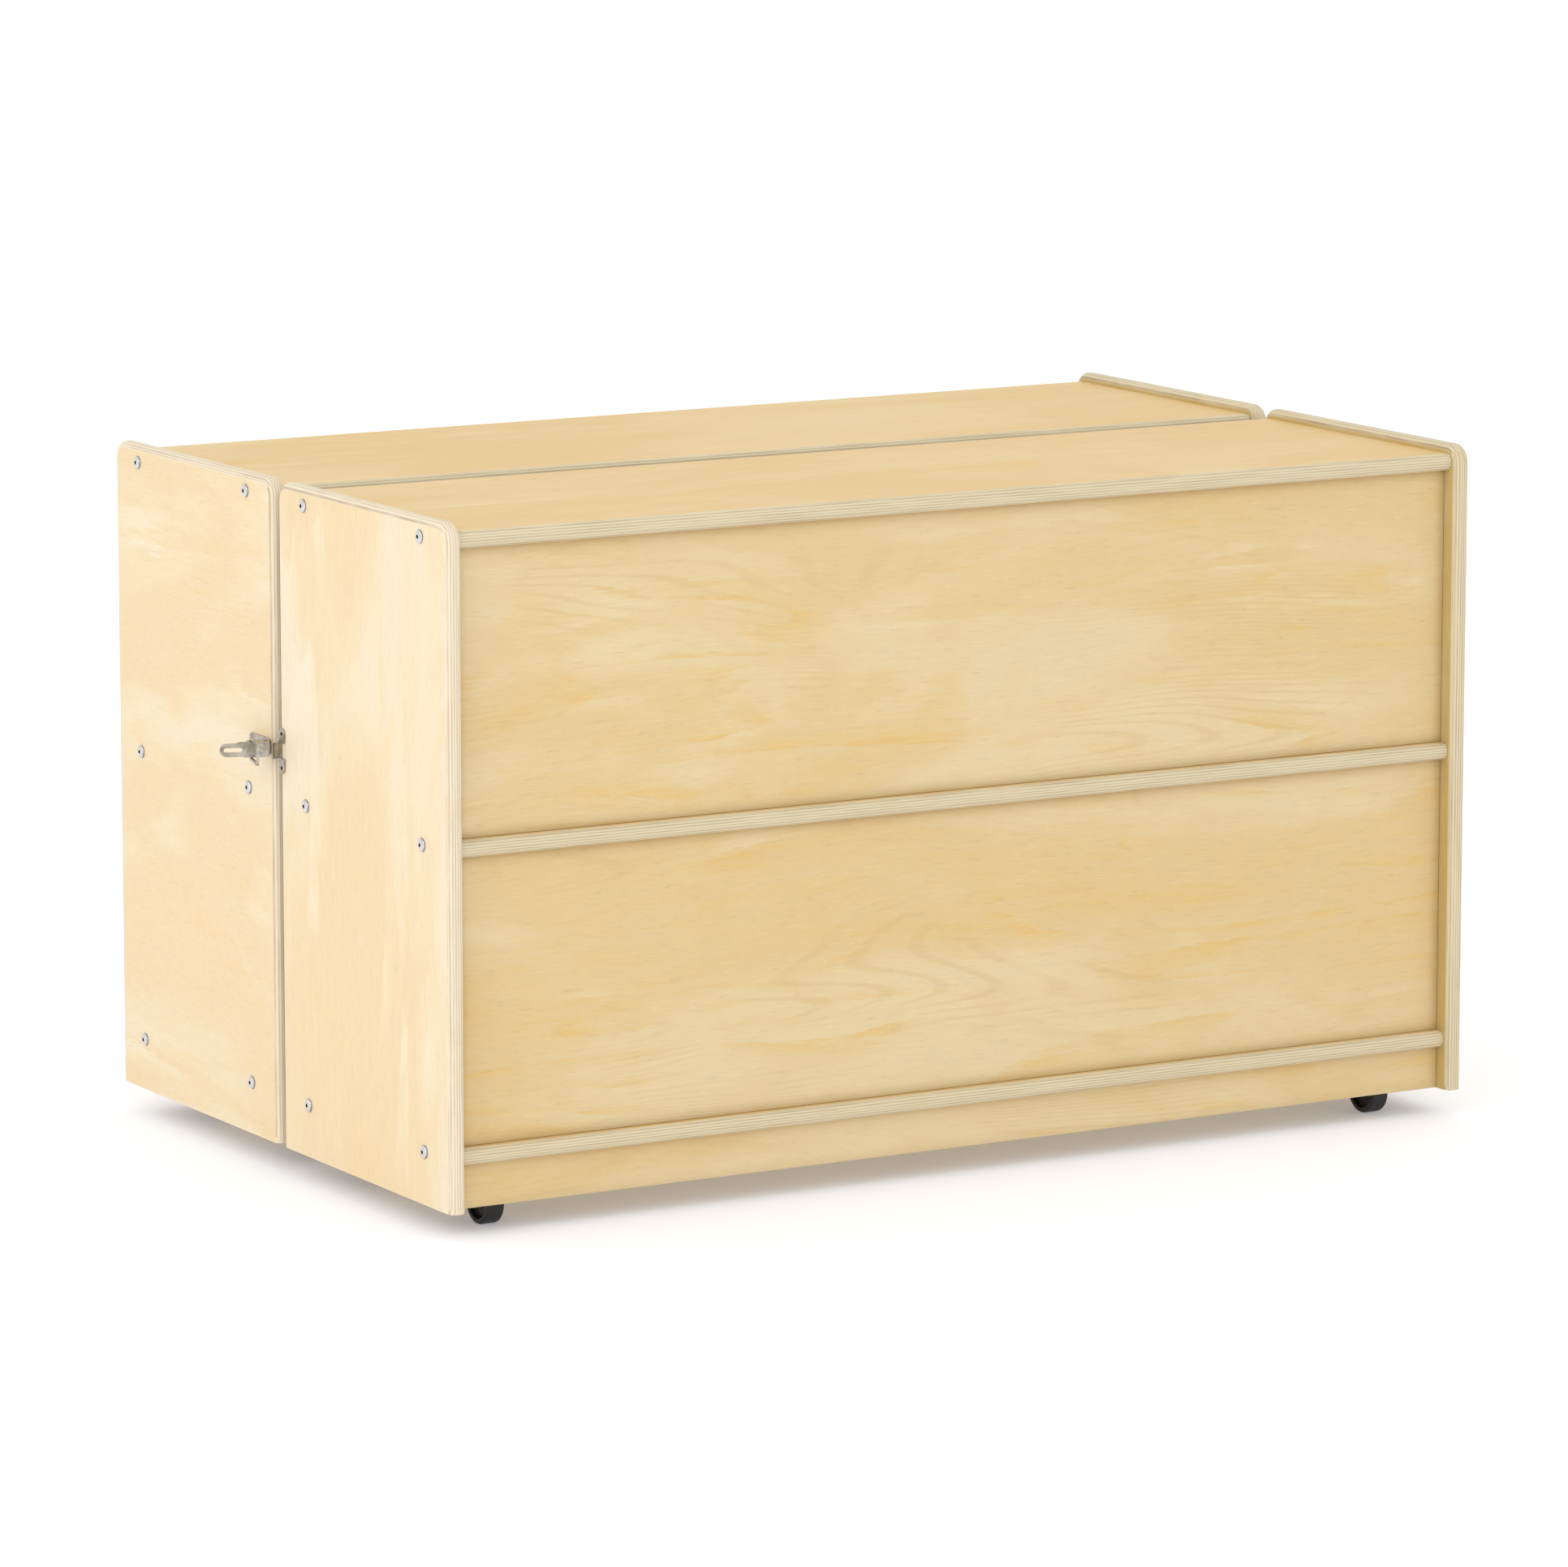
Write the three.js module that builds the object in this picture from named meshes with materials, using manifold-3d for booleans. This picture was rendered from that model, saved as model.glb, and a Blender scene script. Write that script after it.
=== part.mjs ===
// Folding mobile storage cabinet in birch plywood, closed: two open-fronted halves stand face to face,
// hinged together at the right end and held shut by a toggle latch across the joint at the left end.
// Millimetres, +Z up. X runs along the cabinet, Y across it (near half at -Y, far half at +Y).
// The origin is on the floor, under the middle of the whole object's box.

import * as THREE from 'three';
import { mergeVertices } from 'three/addons/utils/BufferGeometryUtils.js';
import Module from 'manifold-3d';

const wasm = await Module();
wasm.setup();

// ---- Driving dimensions -------------------------------------------------------------------------

const LENGTH = 1219;              // over the outer faces of the side panels
const DEPTH = 760;                // over both halves, closed
const HEIGHT = 724;               // floor to the top edge of the side panels
const FLOOR_GAP = 29;             // floor to the bottom edge of the panels
const JOINT_GAP = 12;             // between the two halves
const PLY = 18;                   // side panels, top boards and shelves
const THIN_PLY = 12;              // back panels and kick boards
const TOUCH = 0.3;                // gap kept between pieces that touch
const EDGE_ROUND = 8;             // rounded edges of the plywood
const SIDE_CORNER = 20;           // corner radius of a side panel, seen from the end

const SIDE_RISE = 10;             // side panel above the top board
const MIDDLE_TOP = 404.5;         // top face of the middle shelf above the floor
const BOTTOM_TOP = 92.5;          // top face of the bottom shelf above the floor
const BOARD_INSET_OUT = 9.5;      // board's outer edge behind the side panel's outer edge
const BOARD_INSET_IN = 9.5;       // board's inner edge behind the side panel's inner edge
const BACK_INSET = 22;            // back panel's face behind the side panel's outer edge

const WHEEL_RADIUS = 25;
const WHEEL_WIDTH = 20;
const WHEEL_BORE = 3.4;
const AXLE_RADIUS = 3;
const CASTER_TRAIL = 20;          // wheel centre behind the swivel axis
const CASTER_INSET_X = 74;        // swivel axis in from the end of the cabinet
const CASTER_OUTER_Y = 291;       // swivel axes from the middle of the cabinet
const CASTER_INNER_Y = 75;
const FORK_PLATE = 2.5;           // sheet the fork is pressed from
const FORK_INSIDE = 23;           // between the fork's two legs
const FORK_TOP = 65;
const CASTER_PLATE = 2.3;

const HINGE_LENGTH = 90;
const HINGE_LEAF = 2;             // leaf thickness
const HINGE_WIDTH = 38;           // leaf width from the pin's axis
const HINGE_HEIGHTS = { lower: 150, upper: 600 };
const KNUCKLE_RADIUS = 4.2;
const HINGE_PIN = 2.4;
const HINGE_BORE = 2.7;

const LATCH_Z = 445.5;            // middle of the latch above the floor
const LATCH_SHEET = 1.5;
const PIVOT_OUT = 8;              // lever pivot out from the end face
const PIVOT_Y = 10;               // lever pivot from the joint plane, on the far half
const LEVER_LEAN = THREE.MathUtils.degToRad(20);   // lever's lean from square to the end face
const LEVER_END = 48;             // pivot to the lever's round end
const LEVER_NECK = 22;            // pivot to where the channel ends and the slotted tail starts
const LEVER_ROOT = -3;
const LEVER_WEB = 9;              // pivot to the web's outer face
const LEVER_HALF = 8;             // half the channel's height
const TAIL_HALF = 7;              // half the tail's height
const SLOT = { from: 24.5, to: 44, half: 2.25 };
const BAIL_PIVOT = { along: 15, back: 0.5 };       // on the lever
const BAIL_LENGTH = 39.5;
const BAIL_LEAN = THREE.MathUtils.degToRad(16.3);  // bail's lean away from the end face
const BAIL_WIRE = 2.8;
const BAIL_HALF = 12;             // half the loop's outside height
const LATCH_PIN = 1.6;
const LATCH_BORE = 1.9;
const BAIL_BORE = 2.35;

// ---- Places worked out from them ----------------------------------------------------------------

const LEFT = -LENGTH / 2;
const RIGHT = LENGTH / 2;
const INNER_FACE = DEPTH / 2 - JOINT_GAP / 2;                 // depth of one half
const BOARD_END = LENGTH / 2 - PLY - TOUCH;
const TOP_BOARD_TOP = HEIGHT - SIDE_RISE;
const BOTTOM_UNDERSIDE = BOTTOM_TOP - PLY;
const HINGE_AXIS_X = RIGHT + TOUCH + KNUCKLE_RADIUS;
const LATCH_REACH = PIVOT_OUT + LEVER_END * Math.cos(LEVER_LEAN) + LEVER_WEB * Math.sin(LEVER_LEAN);
const HINGE_REACH = TOUCH + 2 * KNUCKLE_RADIUS;
const ORIGIN_SHIFT = (LATCH_REACH - HINGE_REACH) / 2;

const HALVES = [{ name: 'near', side: -1 }, { name: 'far', side: 1 }];

// ---- Materials ----------------------------------------------------------------------------------

function finish(color, roughness, metalness) {
  return new THREE.MeshStandardMaterial({ color, roughness, metalness });
}

const birch = finish(0xe6cfa0, 0.5, 0);
const blackSteel = finish(0x1c1c1e, 0.45, 0.4);
const blackRubber = finish(0x161617, 0.6, 0);
const zinc = finish(0xb9bbbd, 0.35, 0.9);

// ---- Geometry helpers ---------------------------------------------------------------------------

const X = new THREE.Vector3(1, 0, 0);
const Y = new THREE.Vector3(0, 1, 0);
const Z = new THREE.Vector3(0, 0, 1);

function toSolid(geometry) {
  const bare = geometry.clone();
  bare.deleteAttribute('normal');
  bare.deleteAttribute('uv');
  const merged = mergeVertices(bare);
  const vertProperties = new Float32Array(merged.attributes.position.array);
  const triVerts = new Uint32Array(merged.index.array);
  return new wasm.Manifold(new wasm.Mesh({ numProp: 3, vertProperties, triVerts }));
}

function toGeometry(solid) {
  const mesh = solid.getMesh();
  const geometry = new THREE.BufferGeometry();
  geometry.setAttribute('position', new THREE.BufferAttribute(mesh.vertProperties, 3));
  geometry.setIndex(new THREE.BufferAttribute(mesh.triVerts, 1));
  geometry.computeVertexNormals();
  return geometry;
}

function join(...pieces) {
  const solids = pieces.map(toSolid);
  return toGeometry(solids.reduce((whole, solid) => whole.add(solid)));
}

function cut(piece, ...tools) {
  const solids = tools.map(toSolid);
  return toGeometry(solids.reduce((whole, solid) => whole.subtract(solid), toSolid(piece)));
}

function box(low, high) {
  const size = high.map((value, i) => value - low[i]);
  const middle = high.map((value, i) => (value + low[i]) / 2);
  return new THREE.BoxGeometry(...size).translate(...middle);
}

// A flat outline's own x, y and thickness turned to Y, Z and X.
function alongX(geometry) {
  return geometry.applyMatrix4(new THREE.Matrix4().makeBasis(Y, Z, X));
}

function extrude(shape, depth, curveSegments = 6) {
  return new THREE.ExtrudeGeometry(shape, { depth, bevelEnabled: false, curveSegments });
}

function roundedRectangle(x0, y0, x1, y1, radius) {
  const shape = new THREE.Shape();
  shape.moveTo(x0 + radius, y0);
  shape.lineTo(x1 - radius, y0);
  shape.absarc(x1 - radius, y0 + radius, radius, -Math.PI / 2, 0);
  shape.lineTo(x1, y1 - radius);
  shape.absarc(x1 - radius, y1 - radius, radius, 0, Math.PI / 2);
  shape.lineTo(x0 + radius, y1);
  shape.absarc(x0 + radius, y1 - radius, radius, Math.PI / 2, Math.PI);
  shape.lineTo(x0, y0 + radius);
  shape.absarc(x0 + radius, y0 + radius, radius, Math.PI, 1.5 * Math.PI);
  return shape;
}

function roundHole(x, y, radius) {
  const hole = new THREE.Path();
  hole.absarc(x, y, radius, 0, 2 * Math.PI, true);
  return hole;
}

function uprightRod(radius, z0, z1, segments) {
  const rod = new THREE.CylinderGeometry(radius, radius, z1 - z0, segments);
  return rod.rotateX(Math.PI / 2).translate(0, 0, (z0 + z1) / 2);
}

// Profile points are [radius, place along the axis], counter-clockwise.
function lathe(profile, segments) {
  return new THREE.LatheGeometry(profile.map(([r, y]) => new THREE.Vector2(r, y)), segments);
}

const cabinet = new THREE.Group();
cabinet.position.x = ORIGIN_SHIFT;

function place(name, geometry, material, x = 0, y = 0, z = 0, parent = cabinet) {
  const mesh = new THREE.Mesh(geometry, material);
  mesh.name = name;
  mesh.position.set(x, y, z);
  parent.add(mesh);
  return mesh;
}

// ---- Plywood case -------------------------------------------------------------------------------

// A span of Y given as distances in from the half's outer edge, on either half.
function spanY(side, fromOuter, toOuter) {
  const ends = [side * (DEPTH / 2 - fromOuter), side * (DEPTH / 2 - toOuter)];
  return ends.sort((a, b) => a - b);
}

function sidePanel(side) {
  const [y0, y1] = spanY(side, 0, INNER_FACE);
  const corner = SIDE_CORNER - EDGE_ROUND;
  const foot = FLOOR_GAP - SIDE_CORNER;
  const shape = roundedRectangle(y0 + EDGE_ROUND, foot, y1 - EDGE_ROUND, HEIGHT - EDGE_ROUND, corner);
  const rounded = new THREE.ExtrudeGeometry(shape, {
    depth: PLY - 2 * EDGE_ROUND,
    bevelThickness: EDGE_ROUND,
    bevelSize: EDGE_ROUND,
    bevelSegments: 3,
    curveSegments: 4,
  });
  rounded.translate(0, 0, EDGE_ROUND);
  const belowPanel = box([-1, y0 - 1, foot - SIDE_CORNER], [PLY + 1, y1 + 1, FLOOR_GAP]);
  return cut(alongX(rounded), belowPanel);
}

function board(side, top) {
  const [y0, y1] = spanY(side, BOARD_INSET_OUT, INNER_FACE - BOARD_INSET_IN);
  const profile = roundedRectangle(y0, top - PLY, y1, top, EDGE_ROUND);
  return alongX(extrude(profile, 2 * BOARD_END, 4));
}

function thinPanel(side, bottom, top) {
  const [y0, y1] = spanY(side, BACK_INSET, BACK_INSET + THIN_PLY);
  return box([0, y0, bottom], [2 * BOARD_END, y1, top]);
}

function addCase({ name, side }) {
  place(`${name}_side_left`, sidePanel(side), birch, LEFT);
  place(`${name}_side_right`, sidePanel(side), birch, RIGHT - PLY);
  const boards = { top_board: TOP_BOARD_TOP, middle_shelf: MIDDLE_TOP, bottom_shelf: BOTTOM_TOP };
  for (const [piece, top] of Object.entries(boards)) {
    place(`${name}_${piece}`, board(side, top), birch, -BOARD_END);
  }
  const panels = {
    back_upper: [MIDDLE_TOP + TOUCH, TOP_BOARD_TOP - PLY - TOUCH],
    back_lower: [BOTTOM_TOP + TOUCH, MIDDLE_TOP - PLY - TOUCH],
    kick_board: [FLOOR_GAP, BOTTOM_UNDERSIDE - TOUCH],
  };
  for (const [piece, [bottom, top]] of Object.entries(panels)) {
    place(`${name}_${piece}`, thinPanel(side, bottom, top), birch, -BOARD_END);
  }
}

// ---- Casters, each built about its own swivel axis ----------------------------------------------

function casterPlate() {
  const top = BOTTOM_UNDERSIDE - TOUCH;
  const plate = extrude(roundedRectangle(-30, -25, 30, 25, 5), CASTER_PLATE, 3);
  plate.translate(0, 0, top - CASTER_PLATE);
  const raceway = uprightRod(19, FORK_TOP + TOUCH, top - CASTER_PLATE / 2, 20);
  return join(plate, raceway);
}

function casterFork() {
  const crown = uprightRod(18, FORK_TOP - 3, FORK_TOP, 20);
  const bossRadius = 8;
  const leg = new THREE.Shape();
  leg.moveTo(11, FORK_TOP);
  leg.lineTo(-13, FORK_TOP);
  leg.lineTo(-CASTER_TRAIL - bossRadius, WHEEL_RADIUS + 3);
  leg.absarc(-CASTER_TRAIL, WHEEL_RADIUS, bossRadius, Math.PI * 0.95, Math.PI * 1.85);
  leg.closePath();
  leg.holes.push(roundHole(-CASTER_TRAIL, WHEEL_RADIUS, AXLE_RADIUS + TOUCH));
  const right = alongX(extrude(leg, FORK_PLATE, 5)).translate(FORK_INSIDE / 2, 0, 0);
  const left = right.clone().translate(-FORK_INSIDE - FORK_PLATE, 0, 0);
  return join(crown, right, left);
}

function casterWheel() {
  const half = WHEEL_WIDTH / 2;
  const hub = { radius: 8, half: half + 0.8 };
  const web = { rim: 19, half: 4 };
  const shoulder = 1.8;
  const profile = [
    [WHEEL_BORE, -hub.half], [hub.radius, -hub.half], [hub.radius, -web.half], [web.rim, -web.half],
    [web.rim, -half], [WHEEL_RADIUS - shoulder, -half], [WHEEL_RADIUS, -half + shoulder],
    [WHEEL_RADIUS, half - shoulder], [WHEEL_RADIUS - shoulder, half], [web.rim, half],
    [web.rim, web.half], [hub.radius, web.half], [hub.radius, hub.half], [WHEEL_BORE, hub.half],
    [WHEEL_BORE, -hub.half],
  ];
  return lathe(profile, 20).rotateZ(-Math.PI / 2);
}

function casterAxle() {
  const shank = FORK_INSIDE / 2 + FORK_PLATE + TOUCH;
  const head = { radius: 4.8, end: shank + 2.2 };
  const profile = [
    [0, -head.end], [head.radius, -head.end], [head.radius, -shank], [AXLE_RADIUS, -shank],
    [AXLE_RADIUS, shank], [head.radius, shank], [head.radius, head.end], [0, head.end],
  ];
  return lathe(profile, 12).rotateZ(-Math.PI / 2);
}

function addCasters({ name, side }) {
  const rows = { outer: CASTER_OUTER_Y, inner: CASTER_INNER_Y };
  const ends = { left: LEFT + CASTER_INSET_X, right: RIGHT - CASTER_INSET_X };
  for (const [row, y] of Object.entries(rows)) {
    for (const [end, x] of Object.entries(ends)) {
      const caster = `caster_${name}_${row}_${end}`;
      const wheelY = side * y - CASTER_TRAIL;
      place(`${caster}_plate`, casterPlate(), zinc, x, side * y);
      place(`${caster}_fork`, casterFork(), blackSteel, x, side * y);
      place(`${caster}_wheel`, casterWheel(), blackRubber, x, wheelY, WHEEL_RADIUS);
      place(`${caster}_axle`, casterAxle(), zinc, x, wheelY, WHEEL_RADIUS);
    }
  }
}

// ---- Butt hinges on the right end ---------------------------------------------------------------

const KNUCKLES = 5;
const KNUCKLE_LENGTH = HINGE_LENGTH / KNUCKLES;

// Even knuckles belong to the far leaf, odd ones to the near leaf.
function hingeLeaf(side) {
  const inner = -KNUCKLE_RADIUS;
  const outer = inner + HINGE_LEAF;
  const [y0, y1] = [0, side * HINGE_WIDTH].sort((a, b) => a - b);
  const plate = box([inner, y0, -HINGE_LENGTH / 2], [outer, y1, HINGE_LENGTH / 2]);
  const barrels = [];
  const notches = [];
  for (let i = 0; i < KNUCKLES; i++) {
    const z0 = -HINGE_LENGTH / 2 + i * KNUCKLE_LENGTH;
    const z1 = z0 + KNUCKLE_LENGTH;
    const own = (i % 2 === 0) === (side > 0);
    const reach = KNUCKLE_RADIUS + 0.8;
    if (own) {
      barrels.push(uprightRod(KNUCKLE_RADIUS, z0 + TOUCH / 2, z1 - TOUCH / 2, 16));
      continue;
    }
    notches.push(box([inner - 1, -reach, z0 - TOUCH / 2], [outer + 1, reach, z1 + TOUCH / 2]));
  }
  const bore = uprightRod(HINGE_BORE, -HINGE_LENGTH, HINGE_LENGTH, 12);
  return cut(join(plate, ...barrels), ...notches, bore);
}

function hingePin() {
  const tip = HINGE_LENGTH / 2 + TOUCH;
  const cap = { radius: 3.8, end: tip + 2.5 };
  const profile = [
    [0, -cap.end], [cap.radius, -cap.end], [cap.radius, -tip], [HINGE_PIN, -tip],
    [HINGE_PIN, tip], [cap.radius, tip], [cap.radius, cap.end], [0, cap.end],
  ];
  return lathe(profile, 12).rotateX(Math.PI / 2);
}

function addHinges() {
  for (const [level, z] of Object.entries(HINGE_HEIGHTS)) {
    place(`hinge_${level}_far_leaf`, hingeLeaf(1), zinc, HINGE_AXIS_X, 0, z);
    place(`hinge_${level}_near_leaf`, hingeLeaf(-1), zinc, HINGE_AXIS_X, 0, z);
    place(`hinge_${level}_pin`, hingePin(), zinc, HINGE_AXIS_X, 0, z);
  }
}

// ---- Toggle latch on the left end ---------------------------------------------------------------
// Plates on the end face are built with x pointing out of it negative and the face at x = 0.

function faceplate(y0, z0, y1, z1, radius) {
  const shape = roundedRectangle(y0, z0, y1, z1, radius);
  return alongX(extrude(shape, LATCH_SHEET, 4)).translate(-TOUCH - LATCH_SHEET, 0, 0);
}

function latchBase() {
  const plate = faceplate(12.5, -9, 60, 9, 4);
  const cheekShape = new THREE.Shape();
  cheekShape.moveTo(-TOUCH - 0.5, 13);
  cheekShape.lineTo(-TOUCH - 0.5, 27);
  cheekShape.lineTo(-TOUCH - LATCH_SHEET - 1, 27);
  cheekShape.lineTo(-PIVOT_OUT - 3, PIVOT_Y + 2.5);
  cheekShape.absarc(-PIVOT_OUT, PIVOT_Y, 3.6, Math.PI * 0.75, Math.PI * 1.75);
  cheekShape.closePath();
  const cheek = extrude(cheekShape, 1.3, 4).translate(0, 0, 5);
  const otherCheek = cheek.clone().translate(0, 0, -11.3);
  const stapleHeight = 25;
  const stapleShape = new THREE.Shape();
  stapleShape.moveTo(-TOUCH - 0.5, 37);
  stapleShape.lineTo(-TOUCH - 0.5, 48);
  stapleShape.lineTo(-stapleHeight + 5.5, 48);
  stapleShape.absarc(-stapleHeight + 5.5, 42.5, 5.5, Math.PI / 2, Math.PI * 1.5);
  stapleShape.closePath();
  stapleShape.holes.push(roundHole(-stapleHeight + 5.5, 42.5, 2.8));
  const staple = extrude(stapleShape, 3, 5).translate(0, 0, -1.5);
  const bore = uprightRod(LATCH_BORE, -10, 10, 12).translate(-PIVOT_OUT, PIVOT_Y, 0);
  return cut(join(plate, cheek, otherCheek, staple), bore);
}

function latchKeeper() {
  const strip = faceplate(-20.5, -23.5, -8.5, 23.5, 5.5);
  const window = box([-4, -22, -8.3], [1, -12.5, 8.3]);
  const holes = [-1, 1].map((end) => {
    const drill = new THREE.CylinderGeometry(2.1, 2.1, 8, 12).rotateZ(Math.PI / 2);
    return drill.translate(-1, -14.5, end * 17.8);
  });
  const wall = new THREE.Shape();
  wall.moveTo(-TOUCH - 0.4, -8.5);
  wall.lineTo(-6, -9);
  wall.lineTo(-9, -10);
  wall.lineTo(-11.5, -12);
  wall.lineTo(-10.6, -13);
  wall.lineTo(-8.4, -11.4);
  wall.lineTo(-5.8, -10.5);
  wall.lineTo(-TOUCH - 0.4, -10);
  wall.closePath();
  const hook = extrude(wall, 16.4).translate(0, 0, -8.2);
  return join(cut(strip, window, ...holes), hook);
}

// The lever and the bail are built about the lever's pivot: x is back from the web, y along the lever.
function leverFlange() {
  const shape = new THREE.Shape();
  shape.moveTo(-LEVER_WEB, LEVER_ROOT);
  shape.lineTo(-2, LEVER_ROOT - 1.2);
  shape.absarc(0, 0, 4.4, Math.PI * 1.6, Math.PI * 2);
  shape.absarc(BAIL_PIVOT.back, BAIL_PIVOT.along, 4.4, 0, Math.PI * 0.6);
  shape.lineTo(-LEVER_WEB + 2.5, LEVER_NECK);
  shape.lineTo(-LEVER_WEB, LEVER_NECK);
  shape.closePath();
  shape.holes.push(roundHole(0, 0, LATCH_BORE));
  shape.holes.push(roundHole(BAIL_PIVOT.back, BAIL_PIVOT.along, BAIL_BORE));
  return extrude(shape, 1.2, 4);
}

function latchLever() {
  const outline = new THREE.Shape();
  outline.moveTo(LEVER_ROOT, -LEVER_HALF);
  outline.lineTo(LEVER_NECK, -LEVER_HALF);
  outline.lineTo(LEVER_NECK + 1.5, -TAIL_HALF);
  outline.absarc(LEVER_END - TAIL_HALF, 0, TAIL_HALF, -Math.PI / 2, Math.PI / 2);
  outline.lineTo(LEVER_NECK + 1.5, TAIL_HALF);
  outline.lineTo(LEVER_NECK, LEVER_HALF);
  outline.lineTo(LEVER_ROOT, LEVER_HALF);
  outline.closePath();
  const slot = new THREE.Path();
  slot.absarc(SLOT.from + SLOT.half, 0, SLOT.half, 1.5 * Math.PI, Math.PI / 2, true);
  slot.absarc(SLOT.to - SLOT.half, 0, SLOT.half, Math.PI / 2, -Math.PI / 2, true);
  outline.holes.push(slot);
  const web = alongX(extrude(outline, LATCH_SHEET, 5)).translate(-LEVER_WEB, 0, 0);
  const upper = leverFlange().translate(0, 0, LEVER_HALF - 1.2);
  const lower = leverFlange().translate(0, 0, -LEVER_HALF);
  return join(web, upper, lower);
}

// A square-section loop with its two ends turned in: x is along the bail from its pivot, y is height.
function latchBail() {
  const half = BAIL_WIRE / 2;
  const outside = roundedRectangle(-half, -BAIL_HALF, BAIL_LENGTH + half, BAIL_HALF, 4);
  const loop = extrude(outside, BAIL_WIRE, 3).translate(0, 0, -half);
  const inside = BAIL_HALF - BAIL_WIRE;
  const hollow = box([half, -inside, -5], [BAIL_LENGTH - half, inside, 5]);
  const mouth = box([-5, -LEVER_HALF + 0.9, -5], [BAIL_LENGTH / 2, LEVER_HALF - 0.9, 5]);
  return cut(loop, hollow, mouth).rotateX(Math.PI / 2);
}

function latchPin() {
  const half = LEVER_HALF + 0.6;
  return uprightRod(LATCH_PIN, -half, half, 12);
}

function addLatch() {
  place('latch_base', latchBase(), zinc, LEFT, 0, LATCH_Z);
  place('latch_keeper', latchKeeper(), zinc, LEFT, 0, LATCH_Z);
  const pivot = new THREE.Group();
  pivot.position.set(LEFT - PIVOT_OUT, PIVOT_Y, LATCH_Z);
  pivot.rotation.z = Math.PI / 2 - LEVER_LEAN;
  cabinet.add(pivot);
  place('latch_lever', latchLever(), zinc, 0, 0, 0, pivot);
  place('latch_pin', latchPin(), zinc, 0, 0, 0, pivot);
  const bail = place('latch_bail', latchBail(), zinc, BAIL_PIVOT.back, BAIL_PIVOT.along, 0, pivot);
  bail.rotation.z = -Math.PI / 2 - BAIL_LEAN - pivot.rotation.z;
}

// ---- Assembly -----------------------------------------------------------------------------------

for (const half of HALVES) {
  addCase(half);
  addCasters(half);
}
addHinges();
addLatch();

export default cabinet;
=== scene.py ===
"""Folding mobile storage cabinet in birch plywood, closed, on casters, with a toggle latch over the joint."""

import math

import bmesh
import bpy
from mathutils import Matrix, Vector


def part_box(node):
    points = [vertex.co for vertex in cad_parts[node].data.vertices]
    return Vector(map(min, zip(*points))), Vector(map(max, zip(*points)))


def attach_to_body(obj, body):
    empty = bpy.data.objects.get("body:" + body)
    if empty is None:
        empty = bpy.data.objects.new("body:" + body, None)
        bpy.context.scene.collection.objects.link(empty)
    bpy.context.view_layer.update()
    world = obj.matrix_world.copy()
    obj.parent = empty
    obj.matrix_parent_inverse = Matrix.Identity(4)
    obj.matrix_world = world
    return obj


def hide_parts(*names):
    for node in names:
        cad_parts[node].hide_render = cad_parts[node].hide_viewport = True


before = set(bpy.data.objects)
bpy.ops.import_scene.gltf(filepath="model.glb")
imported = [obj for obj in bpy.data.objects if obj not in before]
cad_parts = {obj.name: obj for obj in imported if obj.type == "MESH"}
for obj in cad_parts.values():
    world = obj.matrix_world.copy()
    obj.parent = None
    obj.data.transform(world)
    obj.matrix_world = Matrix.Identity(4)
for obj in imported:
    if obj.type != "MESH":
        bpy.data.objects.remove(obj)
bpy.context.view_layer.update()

MM = 0.001

# ---- Sizes that the frame doesn't give ----------------------------------------------------------

EDGE_ROUND = 8 * MM
SIDE_CORNER = 20 * MM
EASE = 0.5 * MM
VENEER = 0.16 * MM
PLY_PITCH = 2.8 * MM           # one light and one dark ply
OUTER_PLY = 0.55 * MM
SCREW_RADIUS = 6.8 * MM
SCREW_HEIGHT = 3.0 * MM
HINGE_SCREW = 3.6 * MM
KEEPER_SCREW = 2.3 * MM
PLATE_SCREW = 4 * MM
SCREW_FROM_JOINT = 66 * MM
SCREW_FROM_OUTSIDE = 57 * MM
SOCKET = 0.32                  # of the head's radius
HINGE_SCREW_Y = (14 * MM, 26 * MM)
HINGE_SCREW_Z = (-0.36, -0.12, 0.12, 0.36)      # of the leaf's height
KEEPER_SCREW_Y = -14.5 * MM
KEEPER_SCREW_Z = 17.8 * MM
PLATE_SCREW_INSET = 6 * MM
CASTER_PLATE = 2.3 * MM
HINGE_LEAF = 2 * MM
FLOOR_HALF = 60

HALVES = ("near", "far")
SIDE_OF = {"near": -1, "far": 1}

X, Y, Z = Vector((1, 0, 0)), Vector((0, 1, 0)), Vector((0, 0, 1))


# ---- Node helpers -------------------------------------------------------------------------------

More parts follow.
